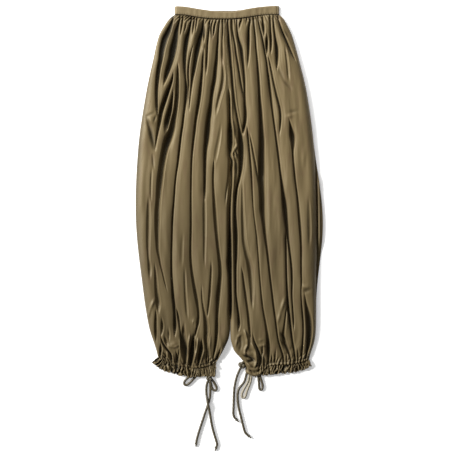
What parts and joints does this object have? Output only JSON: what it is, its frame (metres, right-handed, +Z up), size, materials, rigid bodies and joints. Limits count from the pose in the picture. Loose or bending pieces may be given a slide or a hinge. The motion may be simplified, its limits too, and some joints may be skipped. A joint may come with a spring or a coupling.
{
  "type": "harem pants",
  "caption": "Full-length harem pants of draped jersey laid flat, gathered into a waistband, with frilled drawstring hems tied in bows.",
  "frame": {"origin": "middle of the laid garment on the surface that it lies on", "axes": "+Y up the garment to the waist, +X to the right seen from the front, +Z up off the surface"},
  "size_m": [0.5238, 1.2391, 0.0272],
  "materials": {
    "jersey": "satin drape",
    "band": "satin drape, stitched",
    "tie": "self-fabric cord"
  },
  "bodies": {
    "root": {"waistband_front": "band", "waistband_back": "band", "front_left_leg": "jersey", "front_right_leg": "jersey", "back_left_leg": "jersey", "back_right_leg": "jersey", "ruffle_left_front": "jersey", "ruffle_right_front": "jersey", "ruffle_left_back": "jersey", "ruffle_right_back": "jersey", "knot_left": "tie", "knot_right": "tie", "tie_left_long_right": "tie", "tie_left_long_right_knot": "tie", "tie_left_long_left": "tie", "tie_left_long_left_knot": "tie", "tie_left_loop_outer": "tie", "tie_left_loop_inner": "tie", "tie_right_long_left": "tie", "tie_right_long_left_knot": "tie", "tie_right_long_right": "tie", "tie_right_long_right_knot": "tie", "tie_right_loop_inner": "tie", "tie_right_loop_outer": "tie"}
  },
  "joints": []
}
